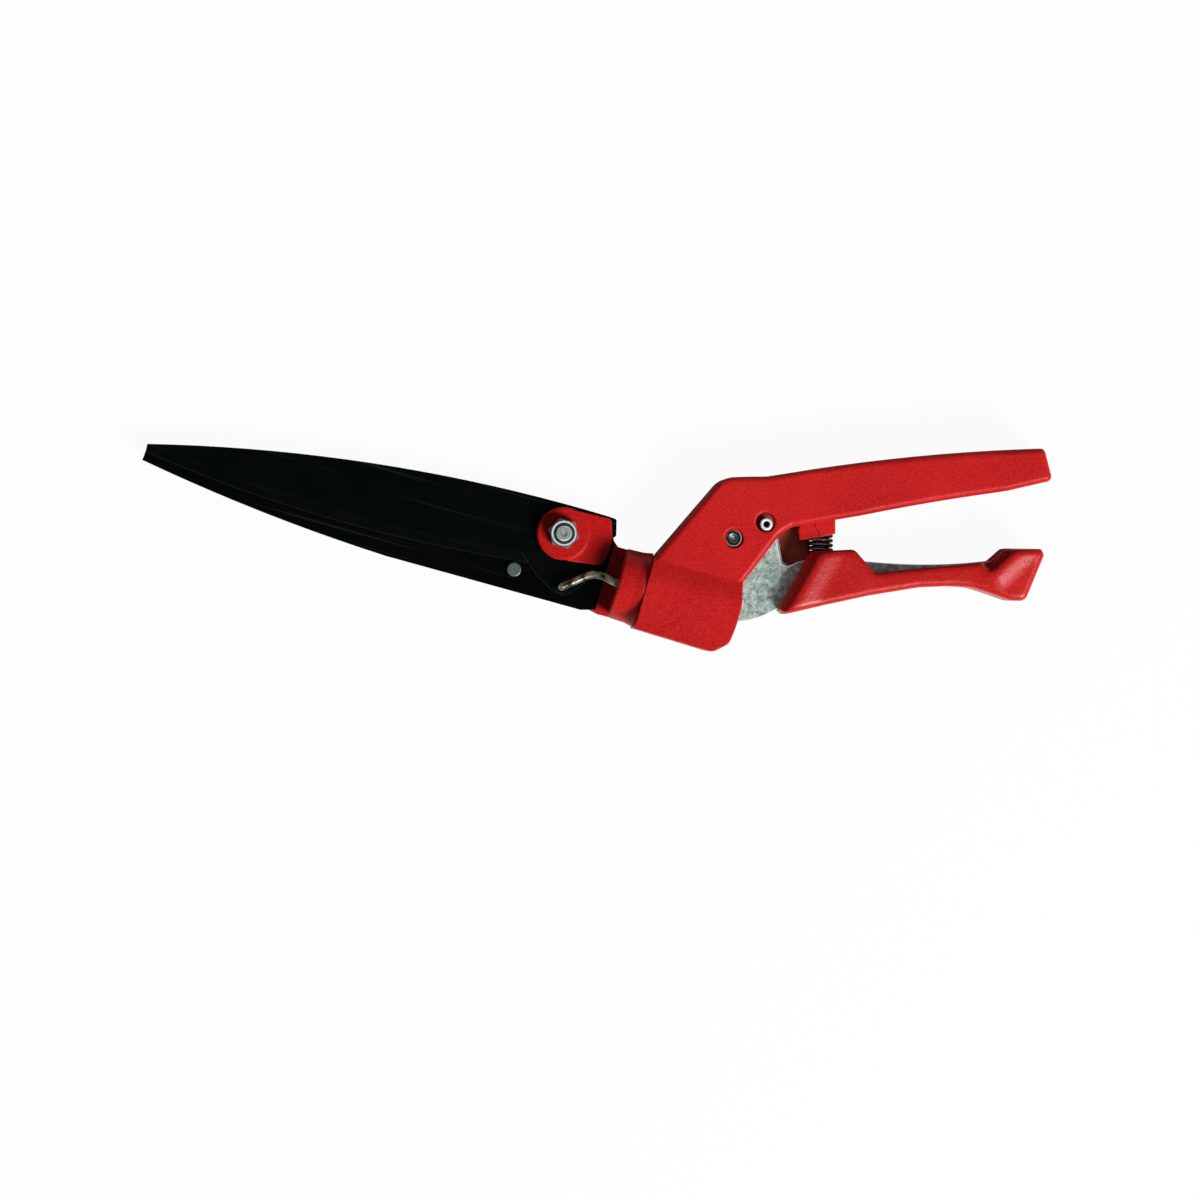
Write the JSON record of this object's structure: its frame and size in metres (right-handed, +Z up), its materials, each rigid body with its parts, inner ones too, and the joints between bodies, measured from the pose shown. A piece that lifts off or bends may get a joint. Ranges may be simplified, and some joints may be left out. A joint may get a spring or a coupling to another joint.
{
  "type": "grass shears",
  "caption": "Hand grass shears with long overlapping blades on a turning head, a fixed upper handle and a sprung squeeze lever that pulls a rod through the swivel.",
  "frame": {"origin": "on the flat underside of the swivel housing, straight below the swivel axis at the middle of the housing", "axes": "+X along the swivel axis from the blades towards the handles, +Y across the tool towards the upper handle, +Z up from the surface it lies on"},
  "size_m": [0.3299, 0.106, 0.029],
  "materials": {
    "red_enamel": "satin red enamel over a die casting",
    "red_grip": "moulded red grip skin",
    "cast_alloy": "as-cast, mottled grey",
    "black_blade": "black non-stick coat over steel",
    "black_blade_lower": "black non-stick coat over steel",
    "zinc_bolt": "zinc plate",
    "zinc_nut": "zinc plate",
    "nylon_ring": "dark nylon locking ring",
    "plain_rivet": "plain steel",
    "rod_wire": "olive passivated steel wire",
    "turned_steel": "turned steel",
    "dark_pin": "dark steel pin",
    "bright_rivet": "bright tubular rivet",
    "catch_plate": "brown passivated pressed steel",
    "spring_wire": "oiled spring wire",
    "ball_steel": "hardened ball",
    "ring_steel": "phosphated spring steel"
  },
  "bodies": {
    "handle": {"upper_handle": "red_enamel", "pivot_pin": "dark_pin", "catch_rivet": "bright_rivet", "detent_ball": "ball_steel", "detent_spring": "spring_wire", "return_spring": "spring_wire"},
    "lever": {"cast_lever": "cast_alloy", "grip_cover": "red_grip", "catch_stud": "turned_steel"},
    "catch": {"lock_catch": "catch_plate"},
    "head": {"swivel_neck": "red_enamel", "retaining_ring": "ring_steel", "fixed_blade": "black_blade_lower", "blade_bolt": "zinc_bolt", "lock_nut": "zinc_nut", "nut_insert": "nylon_ring", "stop_rivet": "plain_rivet", "pressure_plate": "red_enamel"},
    "blade": {"moving_blade": "black_blade"},
    "rod": {"pull_rod": "rod_wire", "rod_collar_front": "turned_steel", "rod_collar_rear": "turned_steel"}
  },
  "joints": [
    {"name": "lever_hinge", "type": "hinge", "parent": "handle", "child": "lever", "pos_m": [0.0092, 0.0275, 0.0145], "axis": [0, 0, 1], "range_deg": [-21.2, 0], "deforming": ["return_spring"]},
    {"name": "head_swivel", "type": "hinge", "parent": "handle", "child": "head", "pos_m": [-0.017, 0, 0.0145], "axis": [1, 0, 0], "continuous": true},
    {"name": "rod_slide", "type": "slide", "parent": "head", "child": "rod", "axis": [1, 0, 0], "range_m": [-0.0103, 0]},
    {"name": "blade_hinge", "type": "hinge", "parent": "head", "child": "blade", "pos_m": [-0.0512, 0.01205, 0.0145], "axis": [0, 0, 1], "range_deg": [-30, 0]},
    {"name": "catch_hinge", "type": "hinge", "parent": "handle", "child": "catch", "pos_m": [0.0195, 0.0358, 0.0145], "axis": [0, 0, 1], "range_deg": [-10, 0]}
  ],
  "couplings": [
    {"joint": "rod_slide", "follows": "lever_hinge", "m_per_rad": 0.02759},
    {"joint": "blade_hinge", "follows": "lever_hinge", "ratio": 1.415}
  ]
}
